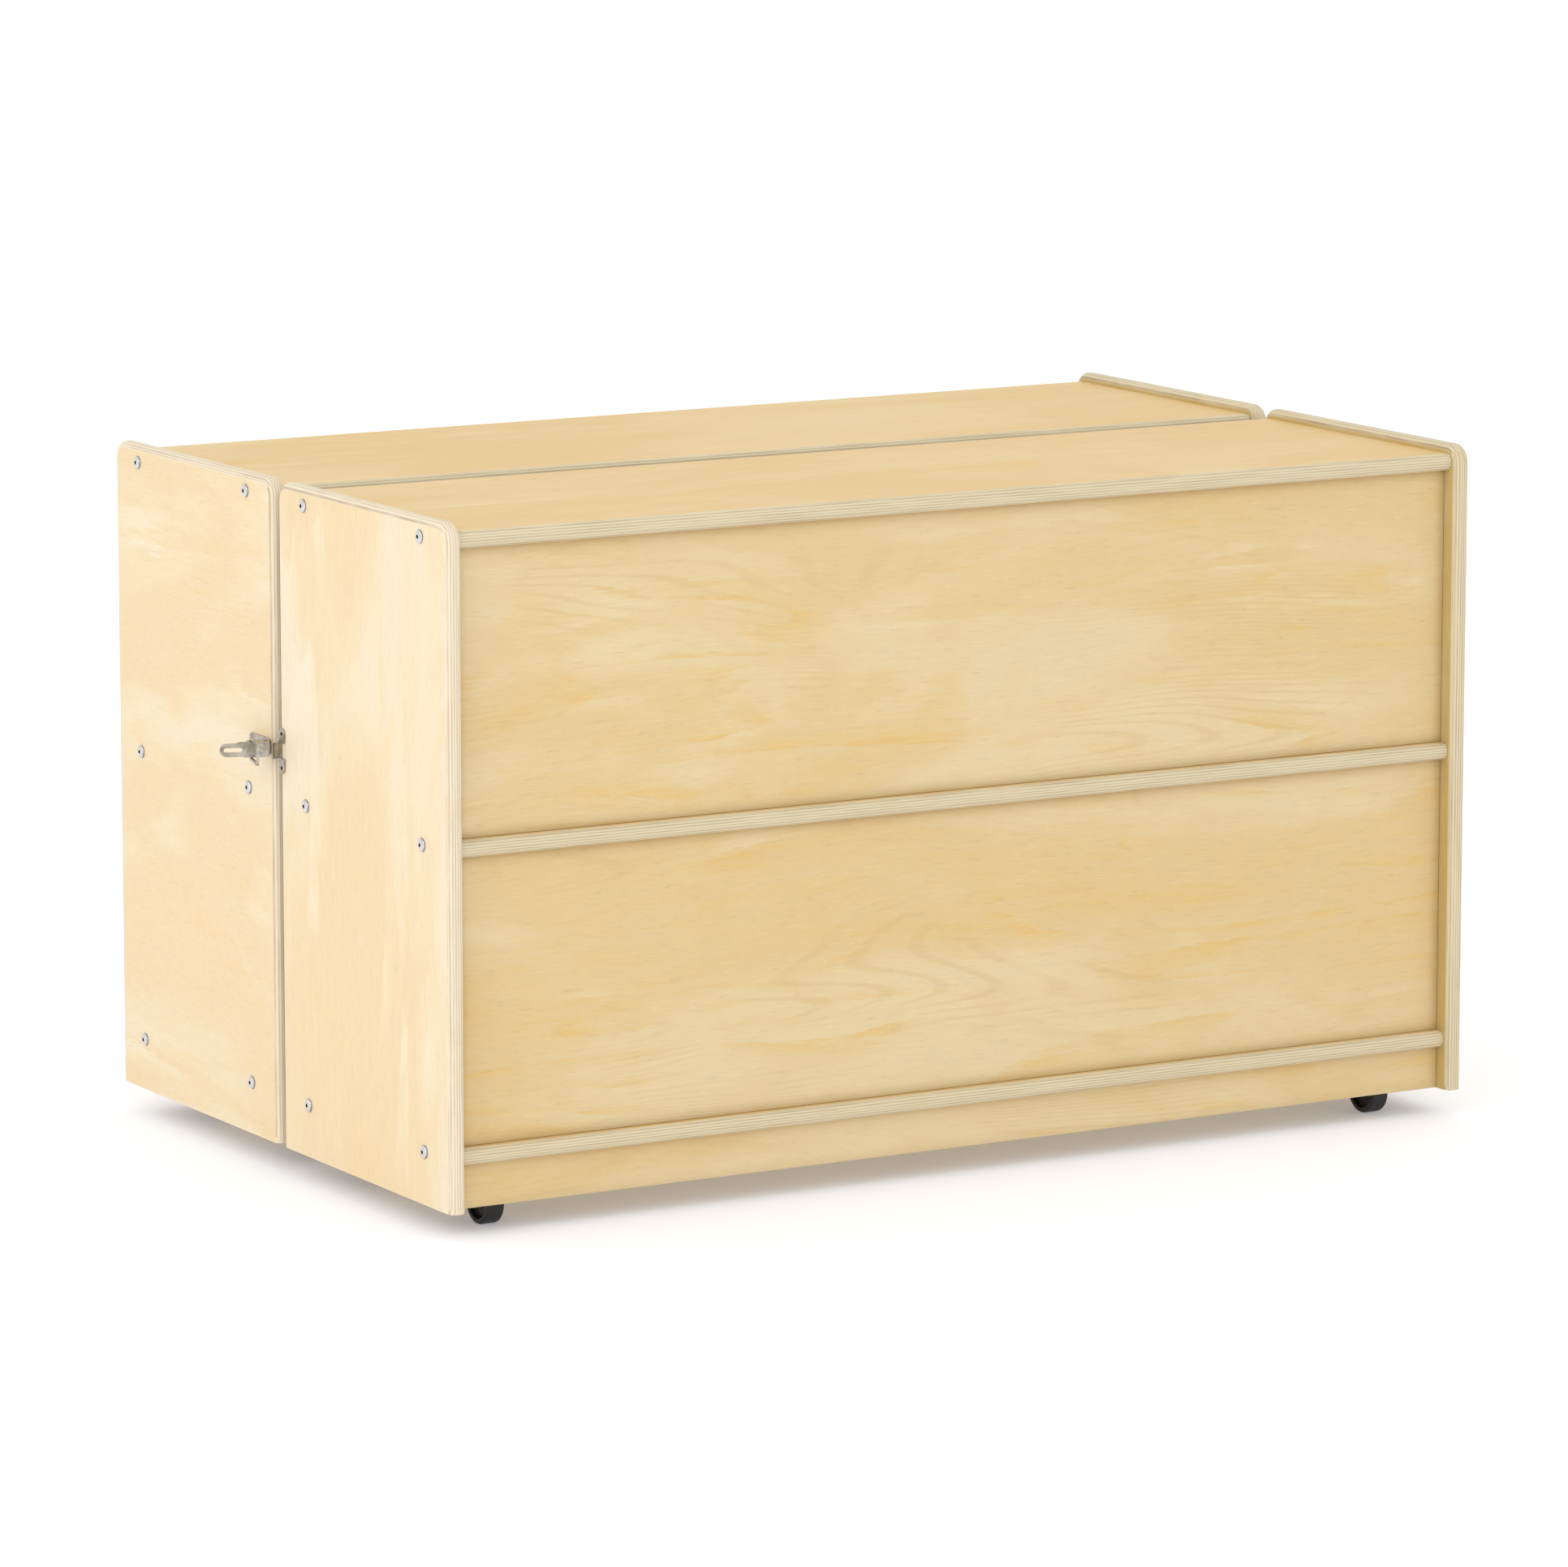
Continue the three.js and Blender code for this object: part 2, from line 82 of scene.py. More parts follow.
class Tree:
    """A material's node tree, built by small calls that return output sockets."""

    def __init__(self, name):
        self.material = bpy.data.materials.new(name)
        self.material.use_nodes = True
        self.tree = self.material.node_tree
        self.tree.nodes.clear()
        self.shader = self.node("ShaderNodeBsdfPrincipled")
        output = self.node("ShaderNodeOutputMaterial")
        self.tree.links.new(self.shader.outputs[0], output.inputs["Surface"])

    def node(self, kind, **settings):
        node = self.tree.nodes.new(kind)
        for name, value in settings.items():
            setattr(node, name, value)
        return node

    def put(self, socket, value):
        if isinstance(value, bpy.types.NodeSocket):
            self.tree.links.new(value, socket)
        else:
            socket.default_value = value

    def math(self, operation, a, b=0.0, clamp=False):
        node = self.node("ShaderNodeMath", operation=operation, use_clamp=clamp)
        self.put(node.inputs[0], a)
        self.put(node.inputs[1], b)
        return node.outputs[0]

    def mix(self, factor, a, b, blend="MIX"):
        node = self.node("ShaderNodeMix", data_type="RGBA", blend_type=blend)
        self.put(node.inputs["Factor"], factor)
        self.put(node.inputs[6], a)
        self.put(node.inputs[7], b)
        return node.outputs[2]

    def place(self, scale=(1, 1, 1), offset=(0, 0, 0)):
        """The piece's own coordinates, in metres, moved and scaled."""
        coordinates = self.node("ShaderNodeTexCoord")
        mapping = self.node("ShaderNodeMapping")
        self.put(mapping.inputs["Vector"], coordinates.outputs["Object"])
        mapping.inputs["Location"].default_value = offset
        mapping.inputs["Scale"].default_value = scale
        return mapping.outputs[0]

    def noise(self, vector, scale=1.0, detail=3.0, roughness=0.5, distortion=0.0):
        node = self.node("ShaderNodeTexNoise")
        self.put(node.inputs["Vector"], vector)
        node.inputs["Scale"].default_value = scale
        node.inputs["Detail"].default_value = detail
        node.inputs["Roughness"].default_value = roughness
        node.inputs["Distortion"].default_value = distortion
        return node.outputs["Fac"]

    def steps(self, value, low, high, smooth=True):
        """0 below low, 1 above high."""
        node = self.node("ShaderNodeMapRange", clamp=True)
        node.interpolation_type = "SMOOTHSTEP" if smooth else "LINEAR"
        self.put(node.inputs["Value"], value)
        node.inputs["From Min"].default_value = low
        node.inputs["From Max"].default_value = high
        return node.outputs[0]

    def blend_vectors(self, vector, push, amount):
        """Moves a coordinate by a noise colour, centred on zero."""
        middle = self.node("ShaderNodeVectorMath", operation="SUBTRACT")
        self.put(middle.inputs[0], push)
        middle.inputs[1].default_value = (0.5, 0.5, 0.5)
        scaled = self.node("ShaderNodeVectorMath", operation="MULTIPLY")
        self.put(scaled.inputs[0], middle.outputs[0])
        scaled.inputs[1].default_value = amount
        total = self.node("ShaderNodeVectorMath", operation="ADD")
        self.put(total.inputs[0], vector)
        self.put(total.inputs[1], scaled.outputs[0])
        return total.outputs[0]

    def bump(self, height, strength, distance):
        node = self.node("ShaderNodeBump")
        node.inputs["Strength"].default_value = strength
        node.inputs["Distance"].default_value = distance
        self.put(node.inputs["Height"], height)
        self.put(self.shader.inputs["Normal"], node.outputs[0])

    def set(self, **values):
        for name, value in values.items():
            self.put(self.shader.inputs[name.replace("_", " ")], value)


def srgb(red, green, blue):
    """A display colour from 0 to 255 as the linear colour that shaders take."""
    linear = []
    for channel in (red, green, blue):
        c = channel / 255
        linear.append(c / 12.92 if c <= 0.04045 else ((c + 0.055) / 1.055) ** 2.4)
    return (*linear, 1.0)


def scaled(color, factor):
    return (*(c * factor for c in color[:3]), 1.0)


# ---- Materials ----------------------------------------------------------------------------------

# Birch face colours, and the two kinds of ply that show at an edge.
BIRCH = srgb(236, 209, 158)
CREAM = srgb(240, 223, 186)
AMBER = srgb(238, 201, 126)
LINE = srgb(222, 192, 138)
LONG_PLY = srgb(240, 224, 190)
CROSS_PLY = srgb(204, 180, 148)
GLUE = srgb(158, 130, 100)
HANDLED = srgb(206, 182, 140)
# Painted shade for screw sockets and the line round their heads, where the head meets the wood.
PAINTED_SCREW_SHADE = srgb(104, 102, 98)
# Painted shade along the rims of panels let into a frame, and how far in it reaches.
PAINTED_RIM_SHADE = (0.70, 0.66, 0.58, 1.0)
PAINTED_SHADE_REACH = 14 * MM
GROWTH_LINES = 60


def birch(name, seed, size, top_tint, under_tint, ply_tint, flame=0.5, rim=0.0):
    """Lacquered birch plywood: local x runs with the face grain, y across it and z through the plies.

    A panel that is let into a frame can be darker along its rim: painted shade, standing in for the shade the
    frame casts there; rim sets its strength.
    """
    t = Tree(name)
    along, wide, thickness = size
    shift = Vector((seed * 3.17, seed * 1.93, seed * 0.71))
    straight = t.place()
    warp = t.node("ShaderNodeTexNoise")
    t.put(warp.inputs["Vector"], t.place((1.8, 4.5, 4.5), shift))
    warp.inputs["Scale"].default_value = 1.0
    warp.inputs["Detail"].default_value = 2.0
    wavy = t.blend_vectors(straight, warp.outputs["Color"], (0.05, 0.05, 0.0))

    def on_face(scale, offset, **noise):
        mapping = t.node("ShaderNodeMapping")
        t.put(mapping.inputs["Vector"], wavy)
        mapping.inputs["Location"].default_value = [s + offset for s in shift]
        mapping.inputs["Scale"].default_value = (*scale, 1.0)
        return t.noise(mapping.outputs[0], **noise)

    def torn_bands(scale, offset, count):
        """Bands that fade in slowly and end at a ragged line, as where a knife cuts through growth rings."""
        field = on_face(scale, offset, detail=1.5, roughness=0.45, distortion=0.35)
        ragged = on_face((24.0, 380.0), offset + 3, detail=4, roughness=0.65)
        wander = t.math("ADD", t.math("MULTIPLY", field, count), t.math("MULTIPLY", ragged, 0.40))
        return t.math("POWER", t.math("FRACT", wander), 2.4)

    # Broad pale patches and amber flames, each only in places.
    cloud = on_face((2.2, 6.5), 0.0, detail=5, roughness=0.55, distortion=0.6)
    color = t.mix(t.math("MULTIPLY", t.steps(cloud, 0.42, 0.66), 0.75), BIRCH, CREAM)
    pale_place = t.steps(on_face((3.0, 7.0), 5.0, detail=4, roughness=0.6), 0.50, 0.66)
    pale = t.math("MULTIPLY", torn_bands((0.9, 6.5), 11.0, 8), pale_place)
    color = t.mix(t.math("MULTIPLY", pale, 0.75), color, scaled(CREAM, 1.03))
    flame_place = t.steps(on_face((3.4, 9.0), 17.0, detail=4, roughness=0.62, distortion=0.5), 0.45, 0.63)
    flames = t.math("MULTIPLY", torn_bands((1.0, 9.0), 23.0, 10), flame_place)
    wisps = on_face((12.0, 90.0), 29.0, detail=6, roughness=0.7, distortion=0.6)
    flames = t.math("MULTIPLY", flames, t.steps(wisps, 0.30, 0.58))
    color = t.mix(t.math("MULTIPLY", flames, flame), color, AMBER)
    soft = t.math("MULTIPLY", t.steps(wisps, 0.50, 0.72), t.steps(cloud, 0.60, 0.36))
    color = t.mix(t.math("MULTIPLY", soft, flame * 0.5), color, AMBER)

    # Thin growth lines in groups: contour lines of a smooth field drawn out along the grain.
    field = on_face((0.5, 6.5), 35.0, detail=1.5, roughness=0.4, distortion=0.2)
    line = t.steps(t.math("SINE", t.math("MULTIPLY", field, 2 * math.pi * GROWTH_LINES)), 0.35, 1.0)
    group = t.steps(on_face((3.5, 9.0), 41.0, detail=3), 0.48, 0.64)
    color = t.mix(t.math("MULTIPLY", t.math("MULTIPLY", line, group), flame * 0.36), color, LINE)

    # Fibres, the short dashes of the pores, and the silky curl that lies across the grain, whose light and
    # dark bands are painted sheen.
    fibres = on_face((24.0, 520.0), 47.0, detail=4, roughness=0.62)
    dashes = on_face((55.0, 420.0), 53.0, detail=2, roughness=0.6)
    dark_dash = t.steps(dashes, 0.58, 0.72)
    light_dash = t.steps(dashes, 0.42, 0.29)
    curl_sheen = on_face((60.0, 14.0), 59.0, detail=4, roughness=0.6, distortion=0.3)
    speck = t.steps(on_face((240.0, 420.0), 67.0, detail=1), 0.80, 0.84)
    shade = t.math("ADD", 0.955, t.math("MULTIPLY", fibres, 0.08))
    shade = t.math("ADD", shade, t.math("MULTIPLY", t.math("SUBTRACT", curl_sheen, 0.5), 0.035))
    shade = t.math("SUBTRACT", shade, t.math("MULTIPLY", dark_dash, 0.07))
    shade = t.math("ADD", shade, t.math("MULTIPLY", light_dash, 0.045))
    shade = t.math("SUBTRACT", shade, t.math("MULTIPLY", speck, 0.22))
    face = t.mix(1.0, color, shade, "MULTIPLY")

    # The plies, by depth: pale bands cut along their grain, darker ones cut across it, and glue lines.
    # The two kinds change places between the panel's ends and its sides.
    parts = t.node("ShaderNodeSeparateXYZ")
    t.put(parts.inputs[0], straight)
    height = parts.outputs["Z"]
    # Painted shade along the rims, where the frame around a let-in panel would shade it.
    if rim:
        for axis, half in (("X", along / 2), ("Y", wide / 2)):
            from_rim = t.math("SUBTRACT", half, t.math("ABSOLUTE", parts.outputs[axis]))
            deep = t.math("POWER", t.steps(from_rim, PAINTED_SHADE_REACH, 0, smooth=False), 1.6)
            face = t.mix(t.math("MULTIPLY", deep, rim), face, t.mix(1.0, face, PAINTED_RIM_SHADE, "MULTIPLY"))
    # Each face gets its own tint: on the ends, painted light on the outer face and painted shade on the inner
    # one.
    tint = t.mix(t.steps(height, -MM, MM), (*under_tint, 1.0), (*top_tint, 1.0))
    face = t.mix(1.0, face, tint, "MULTIPLY")
    depth = t.math("ABSOLUTE", height)
    wander = t.noise(t.place((10, 10, 200), shift), detail=2)
    layer = t.math("ADD", depth, t.math("MULTIPLY", t.math("SUBTRACT", wander, 0.5), 0.4 * MM))
    turn = t.math("FRACT", t.math("DIVIDE", layer, PLY_PITCH))
    from_cross = t.math("ABSOLUTE", t.math("SUBTRACT", turn, 0.5))
    swapped = t.math("SUBTRACT", 0.5, from_cross)
    to_end = t.math("SUBTRACT", along / 2, t.math("ABSOLUTE", parts.outputs["X"]))
    to_side = t.math("SUBTRACT", wide / 2, t.math("ABSOLUTE", parts.outputs["Y"]))
    at_end = t.steps(t.math("SUBTRACT", to_side, to_end), -4 * MM, 4 * MM)
    from_dark = t.math("ADD", t.math("MULTIPLY", from_cross, t.math("SUBTRACT", 1.0, at_end)),
                       t.math("MULTIPLY", swapped, at_end))
    cross = t.steps(from_dark, 0.26, 0.10)
    seam = t.steps(t.math("ABSOLUTE", t.math("SUBTRACT", from_dark, 0.22)), 0.05, 0.01)
    outer_seam = t.steps(t.math("ABSOLUTE", t.math("SUBTRACT", depth, thickness / 2 - OUTER_PLY)),
                         0.22 * MM, 0.06 * MM)
    glue = t.math("MAXIMUM", t.math("MULTIPLY", seam, 0.5), t.math("MULTIPLY", outer_seam, 0.6))
    uneven = t.steps(t.noise(t.place((14, 14, 420), shift), detail=4, roughness=0.6), 0.32, 0.66)
    glue = t.math("MULTIPLY", glue, uneven)
    cross = t.math("MULTIPLY", cross, t.math("ADD", 0.45, t.math("MULTIPLY", uneven, 0.55)))
    speckle = t.noise(t.place((700, 700, 900), shift), detail=3, roughness=0.7)
    streak = t.noise(t.place((60, 60, 1800), shift), detail=3, roughness=0.6)
    long_ply = t.mix(streak, scaled(LONG_PLY, 0.92), scaled(LONG_PLY, 1.04))
    cross_ply = t.mix(speckle, scaled(CROSS_PLY, 0.80), scaled(CROSS_PLY, 1.16))
    plies = t.mix(t.math("MULTIPLY", cross, 0.9), long_ply, cross_ply)
    plies = t.mix(glue, plies, GLUE)
    smudge = t.noise(t.place((16, 16, 16), shift), detail=5, roughness=0.65)
    # The ply tint is painted light on the left ends' edges and painted shade on all other edges.
    plies = t.mix(1.0, plies, (*ply_tint, 1.0), "MULTIPLY")
    plies = t.mix(t.math("MULTIPLY", t.steps(smudge, 0.52, 0.75), 0.30), plies, HANDLED)
    veneer = t.steps(depth, thickness / 2 - VENEER, thickness / 2 - VENEER + 0.06 * MM)

    rough_face = t.math("ADD", 0.40, t.math("MULTIPLY", wisps, 0.14))
    roughness = t.math("ADD", rough_face, t.math("MULTIPLY", t.math("SUBTRACT", 1.0, veneer), 0.10))
    t.set(Base_Color=t.mix(veneer, plies, face), Roughness=roughness)
    t.shader.inputs["Specular IOR Level"].default_value = 0.24
    t.shader.inputs["Coat Weight"].default_value = 0.05
    t.shader.inputs["Coat Roughness"].default_value = 0.35
    grain = t.math("SUBTRACT", fibres, t.math("MULTIPLY", dark_dash, 0.8))
    edge_grain = t.math("SUBTRACT", speckle, t.math("MULTIPLY", cross, 0.6))
    relief = t.math("ADD", t.math("MULTIPLY", grain, veneer),
                    t.math("MULTIPLY", edge_grain, t.math("SUBTRACT", 1.0, veneer)))
    t.bump(relief, 0.25, 0.08 * MM)
    return t.material


def metal(name, color, dark, roughness, scratch=(40, 900, 900), head=None):
    """Plated or satin metal with brushed streaks, blotches and dulled patches.

    head is a screw's radius: its socket and the line round its rim are then painted dark, as painted shade in
    the socket and where the head meets the wood.
    """
    t = Tree(name)
    streaks = t.noise(t.place(scratch), detail=4, roughness=0.65)
    blotch = t.noise(t.place((90, 90, 90)), detail=4, roughness=0.6, distortion=0.5)
    shade = t.mix(t.steps(blotch, 0.35, 0.75), color, dark)
    shade = t.mix(t.math("MULTIPLY", streaks, 0.35), shade, dark)
    if head:
        flat = t.node("ShaderNodeVectorMath", operation="LENGTH")
        t.put(flat.inputs[0], t.place((1 / head, 1 / head, 0)))
        from_axis = flat.outputs["Value"]
        # Painted shade in the socket and round the rim of the head.
        socket = t.steps(from_axis, SOCKET * 1.02, SOCKET * 0.90)
        rim = t.steps(from_axis, 0.95, 1.0)
        shade = t.mix(t.math("MAXIMUM", t.math("MULTIPLY", socket, 0.85), t.math("MULTIPLY", rim, 0.55)),
                      shade, PAINTED_SCREW_SHADE)
    t.set(Base_Color=shade)
    t.set(Roughness=t.math("ADD", roughness, t.math("MULTIPLY", t.math("ADD", streaks, blotch), 0.12)))
    t.shader.inputs["Metallic"].default_value = 1.0
    t.bump(t.math("ADD", streaks, t.math("MULTIPLY", blotch, 0.5)), 0.12, 0.05 * MM)
    return t.material


def black_plastic(name, color, scuffed, roughness):
    """Moulded black rubber or powder coat: fine pebble, scuffs and a little dust."""
    t = Tree(name)
    pebble = t.noise(t.place((2600, 2600, 2600)), detail=2)
    scuffs = t.noise(t.place((160, 160, 160)), detail=6, roughness=0.75, distortion=0.8)
    dust = t.noise(t.place((35, 35, 35)), detail=3)
    worn = t.math("MULTIPLY", t.steps(scuffs, 0.55, 0.75), 0.5)
    t.set(Base_Color=t.mix(t.math("MULTIPLY", t.steps(dust, 0.45, 0.8), 0.35),
                           t.mix(worn, color, scuffed), scuffed))
    t.set(Roughness=t.math("ADD", roughness, t.math("MULTIPLY", scuffs, 0.25)))
    t.bump(t.math("ADD", pebble, t.math("MULTIPLY", scuffs, 0.6)), 0.2, 0.06 * MM)
    return t.material


# ---- Mesh helpers -------------------------------------------------------------------------------

SHARP_ANGLE = math.radians(32)


def finish_mesh(bm, name, material, matrix=Matrix.Identity(4)):
    """Turns a bmesh into an object with smooth faces, sharp edges kept sharp and clean normals."""
    bmesh.ops.recalc_face_normals(bm, faces=bm.faces)
    for face in bm.faces:
        face.smooth = True
    for edge in bm.edges:
        if len(edge.link_faces) != 2 or edge.calc_face_angle(0) > SHARP_ANGLE:
            edge.smooth = False
    mesh = bpy.data.meshes.new(name)
    bm.to_mesh(mesh)
    bm.free()
    mesh.materials.append(material)
    piece = bpy.data.objects.new(name, mesh)
    bpy.context.scene.collection.objects.link(piece)
    piece.matrix_world = matrix
    modifier = piece.modifiers.new("even_normals", "WEIGHTED_NORMAL")
    modifier.keep_sharp = True
    return piece


def attach(piece, body, slot, *nodes):
    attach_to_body(piece, body)
    if nodes:
        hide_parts(*nodes)
    return piece


def frame_of(origin, x_axis, y_axis):
    """A right-handed place: origin and the directions of local x and y."""
    z_axis = x_axis.cross(y_axis)
    columns = Matrix((x_axis, y_axis, z_axis)).transposed().to_4x4()
    return Matrix.Translation(origin) @ columns


def arc(centre, radius, start, end, steps):
    """Points on an arc, angles in degrees."""
    points = []
    for i in range(steps + 1):
        angle = math.radians(start + (end - start) * i / steps)
        points.append((centre[0] + radius * math.cos(angle), centre[1] + radius * math.sin(angle)))
    return points


def rounded_outline(x0, y0, x1, y1, radius, steps=8):
    points = []
    corners = ((x1 - radius, y0 + radius, -90), (x1 - radius, y1 - radius, 0),
               (x0 + radius, y1 - radius, 90), (x0 + radius, y0 + radius, 180))
    for cx, cy, start in corners:
        points += arc((cx, cy), radius, start, start + 90, steps)
    return points


def ring(bm, points, z):
    return [bm.verts.new((x, y, z)) for x, y in points]


def bridge(bm, lower, upper):
    count = len(lower)
    for i in range(count):
        j = (i + 1) % count
        bm.faces.new((lower[i], lower[j], upper[j], upper[i]))


def lathe(bm, profile, segments, capped=True):
    """Turns [radius, height] points round z. Points on the axis become one vertex."""
    rows = []
    for radius, z in profile:
        if radius < 1e-7:
            rows.append([bm.verts.new((0, 0, z))])
            continue
        angles = [2 * math.pi * i / segments for i in range(segments)]
        rows.append([bm.verts.new((radius * math.cos(a), radius * math.sin(a), z)) for a in angles])
    pairs = list(zip(rows, rows[1:]))
    if not capped:
        pairs.append((rows[-1], rows[0]))
    for a, b in pairs:
        for i in range(segments):
            j = (i + 1) % segments
            corners = [a[i % len(a)], a[j % len(a)], b[j % len(b)], b[i % len(b)]]
            unique = list(dict.fromkeys(corners))
            if len(unique) > 2:
                bm.faces.new(unique)
    return rows


def prism(bm, outline, z0, z1):
    """An extruded flat outline."""
    lower, upper = ring(bm, outline, z0), ring(bm, outline, z1)
    bridge(bm, lower, upper)
    bm.faces.new(lower[::-1])
    bm.faces.new(upper)


def bevel_sharp(piece, width, segments=2, angle=40):
    modifier = piece.modifiers.new("eased_edges", "BEVEL")
    modifier.width = width
    modifier.segments = segments
    modifier.limit_method = "ANGLE"
    modifier.angle_limit = math.radians(angle)
    modifier.harden_normals = False
    piece.modifiers.move(len(piece.modifiers) - 1, 0)
    return piece


# ---- Plywood case -------------------------------------------------------------------------------

def board_place(node, grain, across):
    """The board's own place, and its size along the grain, across it and through."""
    low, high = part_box(node)
    middle, size = (low + high) / 2, high - low
    through = grain.cross(across)
    extent = [abs(size.dot(axis)) for axis in (grain, across, through)]
    return frame_of(middle, grain, across), extent


def side_panel(name, material, place, size, grain):
    """Rounded all round its outline on both faces, with the foot cut off square."""
    low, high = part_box(name)
    depth, height = high.y - low.y, high.z - low.z
    extra = 2 * SIDE_CORNER
    bm = bmesh.new()
    steps = 8
    rows = []
    half = size[2] / 2
    for face_side in (-1, 1):
        angles = range(steps + 1) if face_side < 0 else range(steps, -1, -1)
        for k in angles:
            turn = math.pi / 2 * k / steps
            inset = EDGE_ROUND * (1 - math.sin(turn))
            x = face_side * (half - EDGE_ROUND * (1 - math.cos(turn)))
            outline = rounded_outline(-depth / 2 + inset, -height / 2 - extra + inset,
                                      depth / 2 - inset, height / 2 - inset, SIDE_CORNER - inset, 10)
            rows.append([bm.verts.new((x, y, z)) for y, z in outline])
    for lower, upper in zip(rows, rows[1:]):
        bridge(bm, lower, upper)
    bm.faces.new(rows[0][::-1])
    bm.faces.new(rows[-1])
    everything = [*bm.verts, *bm.edges, *bm.faces]
    bmesh.ops.bisect_plane(bm, geom=everything, plane_co=(0, 0, -height / 2), plane_no=(0, 0, -1),
                           clear_outer=True)
    rim = [e for e in bm.edges if len(e.link_faces) == 1]
    bmesh.ops.holes_fill(bm, edges=rim, sides=0)
    local = frame_of(Vector((0, 0, 0)), grain, X.cross(grain))
    bmesh.ops.transform(bm, matrix=local.inverted(), verts=bm.verts)
    return finish_mesh(bm, f"{name}_ply", material, place)


def shelf_board(name, material, place, size):
    """Long edges rounded on both faces, ends square against the side panels."""
    along, wide, thick = size
    profile = rounded_outline(-wide / 2, -thick / 2, wide / 2, thick / 2, EDGE_ROUND, 8)
    bm = bmesh.new()
    rows = [[bm.verts.new((x, y, z)) for y, z in profile] for x in (-along / 2, along / 2)]
    bridge(bm, *rows)
    bm.faces.new(rows[0][::-1])
    bm.faces.new(rows[1])
    return finish_mesh(bm, f"{name}_ply", material, place)


def thin_panel(name, material, place, size):
    along, wide, thick = size
    x, y = along / 2, wide / 2
    bm = bmesh.new()
    prism(bm, [(-x, -y), (x, -y), (x, y), (-x, y)], -thick / 2, thick / 2)
    bmesh.ops.bevel(bm, geom=[*bm.edges], offset=EASE, segments=2, affect="EDGES", profile=0.5)
    return finish_mesh(bm, f"{name}_ply", material, place)


# The outer veneer of the ends is painted paler, as painted light where the light falls brightest, and the
# veneer on their inner side browner and darker, as painted shade in the recess beside the boards.
END_LIGHT_TINT = (0.937, 0.966, 1.08)
INNER_SHADE_TINT = (0.67, 0.64, 0.46)
BOARD_TINT = (0.84, 0.755, 0.555)
BACK_TINT = (0.82, 0.795, 0.73)
# The left ends' ply edges are painted lighter and all other ply edges darker: painted light and painted
# shade.
LEFT_PLIES_LIT = (0.93, 0.95, 1.02)
OTHER_PLIES_SHADED = (0.80, 0.81, 0.79)


def build_case(half, seed):
    body = f"{half}_half"
    slot = "birch_plywood"
    left_grain = Z if half == "near" else Y
    for i, (end, grain) in enumerate((("left", left_grain), ("right", Z))):
        name = f"{half}_side_{end}"
        tints = (END_LIGHT_TINT, INNER_SHADE_TINT, OTHER_PLIES_SHADED)
        if end == "left":
            tints = (INNER_SHADE_TINT, END_LIGHT_TINT, LEFT_PLIES_LIT)
        place, size = board_place(name, grain, X.cross(grain))
        look = birch(f"birch_{name}", seed + i, size, *tints, flame=0.34)
        attach(side_panel(name, look, place, size, grain), body, slot, name)
    tints = (BOARD_TINT, BOARD_TINT, OTHER_PLIES_SHADED)
    for i, board in enumerate(("top_board", "middle_shelf", "bottom_shelf")):
        name = f"{half}_{board}"
        place, size = board_place(name, X, Y)
        look = birch(f"birch_{name}", seed + 3 + i, size, *tints, flame=0.55)
        attach(shelf_board(name, look, place, size), body, slot, name)
    tints = (BACK_TINT, BACK_TINT, OTHER_PLIES_SHADED)
    for i, panel in enumerate(("back_upper", "back_lower", "kick_board")):
        name = f"{half}_{panel}"
        place, size = board_place(name, X, Z)
        # How strong the painted rim shade is on the back panels and the kick board.
        rim = 0.35 if panel == "kick_board" else 0.8
        look = birch(f"birch_{name}", seed + 7 + i, size, *tints, flame=0.8, rim=rim)
        attach(thin_panel(name, look, place, size), body, slot, name)


# ---- Screws -------------------------------------------------------------------------------------

def hexagon_point(angle, radius):
    """A point on a hexagon whose corners are at radius."""
    sector = (angle + math.pi / 6) % (math.pi / 3) - math.pi / 6
    flat = radius * math.cos(math.pi / 6)
    return flat / math.cos(sector)


def socket_screw(name, material, radius, height, matrix):
    """A domed head with a hexagonal socket and a thin foot, its underside on local z = 0."""
    count = 48
    bm = bmesh.new()
    angles = [2 * math.pi * i / count for i in range(count)]
    foot = [(radius * 1.05, 0), (radius * 1.05, height * 0.06),
            (radius, height * 0.10), (radius, height * 0.30)]
    dome = [(radius * math.cos(a), height * (0.30 + 0.70 * math.sin(a)))
            for a in [math.radians(d) for d in (12, 24, 36, 48, 60)]]
    rings = [[bm.verts.new((r * math.cos(a), r * math.sin(a), z)) for a in angles] for r, z in foot + dome]
    for shrink, z in ((1.10, height * 0.99), (1.0, height * 0.95), (0.95, height * 0.20)):
        reach = [hexagon_point(a, radius * SOCKET * shrink) for a in angles]
        rings.append([bm.verts.new((r * math.cos(a), r * math.sin(a), z)) for r, a in zip(reach, angles)])
    for lower, upper in zip(rings, rings[1:]):
        bridge(bm, lower, upper)
    floor = bm.verts.new((0, 0, height * 0.10))
    for i in range(count):
        bm.faces.new((rings[-1][i], rings[-1][(i + 1) % count], floor))
    bm.faces.new(rings[0][::-1])
    return finish_mesh(bm, name, material, matrix)


